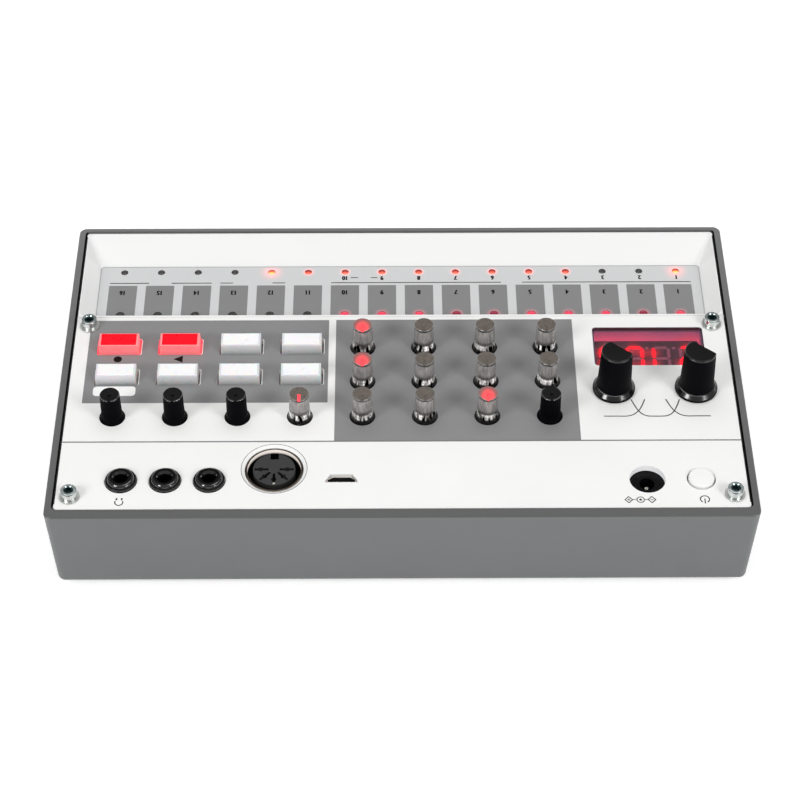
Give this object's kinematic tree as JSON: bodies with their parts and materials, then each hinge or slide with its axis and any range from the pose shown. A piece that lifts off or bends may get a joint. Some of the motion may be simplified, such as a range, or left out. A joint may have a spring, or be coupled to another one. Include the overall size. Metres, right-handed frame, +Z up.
{
  "type": "sample drum machine",
  "caption": "Tabletop electronic drum machine with a touch keyboard, knob matrix, lit keys, numeric display and rear sockets in a flat grey case.",
  "frame": {"origin": "on the table, under the middle of the case", "axes": "+X to the player's right, +Y to the rear with the sockets, +Z up"},
  "size_m": [0.1934, 0.116, 0.0452],
  "materials": {
    "case_grey": "fine matt moulded texture, mid grey",
    "white_plastic": "fine satin moulded texture, white",
    "sheet_grey": "printed satin film, light grey with darker pads",
    "board_green": "glass-fibre laminate with green solder mask",
    "lamp_red": "small clear-red lamp bodies",
    "window_red": "transparent red acrylic, polished",
    "display_dark": "dark numeric display block",
    "pot_metal": "pressed and plated can",
    "lamp_clear": "small clear lamp bodies",
    "jack_black": "smooth moulded black",
    "socket_steel": "nickel-plated drawn shell",
    "insert_grey": "moulded dark grey",
    "contact_metal": "tin-plated contact metal",
    "switch_black": "moulded black switch bodies",
    "screw_steel": "bright zinc-plated steel",
    "foot_rubber": "soft black rubber",
    "cell_wrap": null,
    "spring_steel": "nickel-plated spring steel",
    "key_white": "translucent white, polished top",
    "knob_clear": "clear fluted cap over a plated shaft",
    "knob_black": "satin black moulded cap"
  },
  "bodies": {
    "machine": {"case": "case_grey", "control_panel": "white_plastic", "front_tray": "white_plastic", "touch_sheet": "sheet_grey", "touch_board": "board_green", "step_lamps": "lamp_red", "pad_lamps": "lamp_red", "display_window": "window_red", "display_module": "display_dark", "main_board": "board_green", "small_pots": "pot_metal", "isolator_pots": "pot_metal", "knob_lamps": "lamp_clear", "phones_jack": "jack_black", "sync_out_jack": "jack_black", "sync_in_jack": "jack_black", "din_shell": "socket_steel", "din_insert": "insert_grey", "din_contacts": "contact_metal", "usb_shell": "socket_steel", "usb_tongue": "jack_black", "dc_inlet": "jack_black", "dc_pin": "contact_metal", "tact_switches": "switch_black", "key_lamps": "lamp_clear", "panel_screws": "screw_steel", "panel_washers": "screw_steel", "board_screws": "screw_steel", "rubber_feet": "foot_rubber", "battery_cells": "cell_wrap", "battery_springs": "spring_steel", "battery_plates": "spring_steel"},
    "volume_knob_body": {"volume_knob": "knob_black"},
    "reverb_knob_body": {"reverb_knob": "knob_black"},
    "swing_knob_body": {"swing_knob": "knob_black"},
    "tempo_knob_body": {"tempo_knob": "knob_clear"},
    "matrix_knob_r1c1_body": {"matrix_knob_r1c1": "knob_clear"},
    "matrix_knob_r1c2_body": {"matrix_knob_r1c2": "knob_clear"},
    "matrix_knob_r1c3_body": {"matrix_knob_r1c3": "knob_clear"},
    "matrix_knob_r1c4_body": {"matrix_knob_r1c4": "knob_black"},
    "matrix_knob_r2c1_body": {"matrix_knob_r2c1": "knob_clear"},
    "matrix_knob_r2c2_body": {"matrix_knob_r2c2": "knob_clear"},
    "matrix_knob_r2c3_body": {"matrix_knob_r2c3": "knob_clear"},
    "matrix_knob_r2c4_body": {"matrix_knob_r2c4": "knob_clear"},
    "matrix_knob_r3c1_body": {"matrix_knob_r3c1": "knob_clear"},
    "matrix_knob_r3c2_body": {"matrix_knob_r3c2": "knob_clear"},
    "matrix_knob_r3c3_body": {"matrix_knob_r3c3": "knob_clear"},
    "matrix_knob_r3c4_body": {"matrix_knob_r3c4": "knob_clear"},
    "treble_knob_body": {"treble_knob": "knob_black"},
    "bass_knob_body": {"bass_knob": "knob_black"},
    "func_key_body": {"func_key": "key_white"},
    "solo_key_body": {"solo_key": "key_white"},
    "reverb_key_body": {"reverb_key": "key_white"},
    "reverse_key_body": {"reverse_key": "key_white"},
    "record_key_body": {"record_key": "key_white"},
    "play_key_body": {"play_key": "key_white"},
    "jump_key_body": {"jump_key": "key_white"},
    "write_key_body": {"write_key": "key_white"},
    "power_button_body": {"power_button": "white_plastic"},
    "door_body": {"battery_door": "case_grey"}
  },
  "joints": [
    {"name": "volume_knob_turn", "type": "hinge", "parent": "machine", "child": "volume_knob_body", "pos_m": [0.081, 0.0201, 0.03], "axis": [0, 0, 1], "range_deg": [-150, 150]},
    {"name": "reverb_knob_turn", "type": "hinge", "parent": "machine", "child": "reverb_knob_body", "pos_m": [0.0635, 0.0201, 0.03], "axis": [0, 0, 1], "range_deg": [-150, 150]},
    {"name": "swing_knob_turn", "type": "hinge", "parent": "machine", "child": "swing_knob_body", "pos_m": [0.046, 0.0201, 0.03], "axis": [0, 0, 1], "range_deg": [-150, 150]},
    {"name": "tempo_knob_turn", "type": "hinge", "parent": "machine", "child": "tempo_knob_body", "pos_m": [0.0285, 0.0201, 0.03], "axis": [0, 0, 1], "range_deg": [-150, 150]},
    {"name": "matrix_knob_r1c1_turn", "type": "hinge", "parent": "machine", "child": "matrix_knob_r1c1_body", "pos_m": [0.011, 0.0201, 0.03], "axis": [0, 0, 1], "range_deg": [-150, 150]},
    {"name": "matrix_knob_r1c2_turn", "type": "hinge", "parent": "machine", "child": "matrix_knob_r1c2_body", "pos_m": [-0.0065, 0.0201, 0.03], "axis": [0, 0, 1], "range_deg": [-150, 150]},
    {"name": "matrix_knob_r1c3_turn", "type": "hinge", "parent": "machine", "child": "matrix_knob_r1c3_body", "pos_m": [-0.024, 0.0201, 0.03], "axis": [0, 0, 1], "range_deg": [-150, 150]},
    {"name": "matrix_knob_r1c4_turn", "type": "hinge", "parent": "machine", "child": "matrix_knob_r1c4_body", "pos_m": [-0.0415, 0.0201, 0.03], "axis": [0, 0, 1], "range_deg": [-150, 150]},
    {"name": "matrix_knob_r2c1_turn", "type": "hinge", "parent": "machine", "child": "matrix_knob_r2c1_body", "pos_m": [0.011, 0.0065, 0.03], "axis": [0, 0, 1], "range_deg": [-150, 150]},
    {"name": "matrix_knob_r2c2_turn", "type": "hinge", "parent": "machine", "child": "matrix_knob_r2c2_body", "pos_m": [-0.0065, 0.0065, 0.03], "axis": [0, 0, 1], "range_deg": [-150, 150]},
    {"name": "matrix_knob_r2c3_turn", "type": "hinge", "parent": "machine", "child": "matrix_knob_r2c3_body", "pos_m": [-0.024, 0.0065, 0.03], "axis": [0, 0, 1], "range_deg": [-150, 150]},
    {"name": "matrix_knob_r2c4_turn", "type": "hinge", "parent": "machine", "child": "matrix_knob_r2c4_body", "pos_m": [-0.0415, 0.0065, 0.03], "axis": [0, 0, 1], "range_deg": [-150, 150]},
    {"name": "matrix_knob_r3c1_turn", "type": "hinge", "parent": "machine", "child": "matrix_knob_r3c1_body", "pos_m": [0.011, -0.0071, 0.03], "axis": [0, 0, 1], "range_deg": [-150, 150]},
    {"name": "matrix_knob_r3c2_turn", "type": "hinge", "parent": "machine", "child": "matrix_knob_r3c2_body", "pos_m": [-0.0065, -0.0071, 0.03], "axis": [0, 0, 1], "range_deg": [-150, 150]},
    {"name": "matrix_knob_r3c3_turn", "type": "hinge", "parent": "machine", "child": "matrix_knob_r3c3_body", "pos_m": [-0.024, -0.0071, 0.03], "axis": [0, 0, 1], "range_deg": [-150, 150]},
    {"name": "matrix_knob_r3c4_turn", "type": "hinge", "parent": "machine", "child": "matrix_knob_r3c4_body", "pos_m": [-0.0415, -0.0071, 0.03], "axis": [0, 0, 1], "range_deg": [-150, 150]},
    {"name": "treble_knob_turn", "type": "hinge", "parent": "machine", "child": "treble_knob_body", "pos_m": [-0.0601, 0.0098, 0.03], "axis": [0, 0, 1], "range_deg": [-290, 0]},
    {"name": "bass_knob_turn", "type": "hinge", "parent": "machine", "child": "bass_knob_body", "pos_m": [-0.0834, 0.0098, 0.03], "axis": [0, 0, 1], "range_deg": [-290, 0]},
    {"name": "func_key_press", "type": "slide", "parent": "machine", "child": "func_key_body", "axis": [0, 0, -1], "range_m": [0, 0.0005], "stiffness_N_per_m": 400, "springref_m": -0.0005},
    {"name": "solo_key_press", "type": "slide", "parent": "machine", "child": "solo_key_body", "axis": [0, 0, -1], "range_m": [0, 0.0005], "stiffness_N_per_m": 400, "springref_m": -0.0005},
    {"name": "reverb_key_press", "type": "slide", "parent": "machine", "child": "reverb_key_body", "axis": [0, 0, -1], "range_m": [0, 0.0005], "stiffness_N_per_m": 400, "springref_m": -0.0005},
    {"name": "reverse_key_press", "type": "slide", "parent": "machine", "child": "reverse_key_body", "axis": [0, 0, -1], "range_m": [0, 0.0005], "stiffness_N_per_m": 400, "springref_m": -0.0005},
    {"name": "record_key_press", "type": "slide", "parent": "machine", "child": "record_key_body", "axis": [0, 0, -1], "range_m": [0, 0.0005], "stiffness_N_per_m": 400, "springref_m": -0.0005},
    {"name": "play_key_press", "type": "slide", "parent": "machine", "child": "play_key_body", "axis": [0, 0, -1], "range_m": [0, 0.0005], "stiffness_N_per_m": 400, "springref_m": -0.0005},
    {"name": "jump_key_press", "type": "slide", "parent": "machine", "child": "jump_key_body", "axis": [0, 0, -1], "range_m": [0, 0.0005], "stiffness_N_per_m": 400, "springref_m": -0.0005},
    {"name": "write_key_press", "type": "slide", "parent": "machine", "child": "write_key_body", "axis": [0, 0, -1], "range_m": [0, 0.0005], "stiffness_N_per_m": 400, "springref_m": -0.0005},
    {"name": "power_button_press", "type": "slide", "parent": "machine", "child": "power_button_body", "axis": [0, 0, -1], "range_m": [0, 0.0008], "stiffness_N_per_m": 400, "springref_m": -0.0005},
    {"name": "battery_door_hinge", "type": "hinge", "parent": "machine", "child": "door_body", "pos_m": [0, -0.02005, 0.0021], "axis": [1, 0, 0], "range_deg": [0, 75]}
  ]
}
